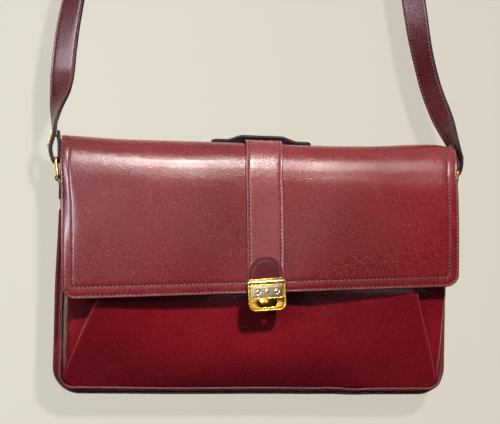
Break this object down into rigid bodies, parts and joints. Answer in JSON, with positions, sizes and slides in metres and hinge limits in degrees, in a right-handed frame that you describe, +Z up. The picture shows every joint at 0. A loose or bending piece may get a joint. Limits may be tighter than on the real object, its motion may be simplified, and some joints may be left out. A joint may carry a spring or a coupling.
{
  "type": "flap-over shoulder bag",
  "caption": "Slim leather shoulder bag with a wide front flap, turn lock, side gores, top handle and a long strap on metal rings.",
  "frame": {"origin": "the point on which the strap hangs: the underside of the strap at the top of its arch", "axes": "+Z up, -Y to the front with the lock, +X to the right seen from the front"},
  "size_m": [0.4167, 0.089, 0.7697],
  "materials": {
    "shell_leather": "glossy smooth leather",
    "strap_leather": "satin leather",
    "dark_edge": "satin, painted edge",
    "lining": "matte",
    "gold_metal": "polished",
    "silver_metal": "satin"
  },
  "bodies": {
    "hanger": {"strap": "strap_leather", "strap_plate_left": "gold_metal", "strap_plate_right": "gold_metal", "strap_rivets_left": "gold_metal", "strap_rivets_right": "gold_metal", "ring_left": "gold_metal", "ring_right": "gold_metal", "ring_tab_left": "strap_leather", "ring_tab_right": "strap_leather"},
    "bag": {"back_panel": "shell_leather", "back_piping": "dark_edge", "edge_strip": "shell_leather", "front_piping": "dark_edge", "front_panel": "shell_leather", "gusset_left": "shell_leather", "gusset_right": "shell_leather", "side_top_left": "shell_leather", "side_top_right": "shell_leather", "mouth_binding": "dark_edge", "back_lining": "lining", "divider": "lining", "tab_mount_left": "shell_leather", "tab_mount_right": "shell_leather", "tab_rivet_left": "gold_metal", "tab_rivet_right": "gold_metal", "lock_base": "gold_metal", "lock_base_washer": "silver_metal", "base_rivets": "gold_metal"},
    "flap": {"flap": "shell_leather", "flap_lining": "lining", "flap_band": "shell_leather", "lock_tab": "shell_leather", "lock_plate": "gold_metal", "lock_roll": "gold_metal", "lock_inset": "silver_metal", "lock_rivets": "gold_metal", "lock_back_plate": "silver_metal", "top_handle": "dark_edge", "handle_rivets": "gold_metal", "handle_washers": "silver_metal"},
    "knob": {"turn_knob": "gold_metal", "knob_shaft": "gold_metal", "shaft_clip": "silver_metal"}
  },
  "joints": [
    {"name": "bag_swing", "type": "hinge", "parent": "hanger", "child": "bag", "pos_m": [0.012, -0.0195, -0.56992], "axis": [1, 0, 0], "range_deg": [0, 75]},
    {"name": "flap_open", "type": "hinge", "parent": "bag", "child": "flap", "pos_m": [0.012, -0.0087, -0.5233], "axis": [-1, 0, 0], "range_deg": [0, 50]},
    {"name": "knob_turn", "type": "hinge", "parent": "bag", "child": "knob", "pos_m": [0.012, -0.0685, -0.6701], "axis": [0, -1, 0], "range_deg": [0, 90]}
  ]
}
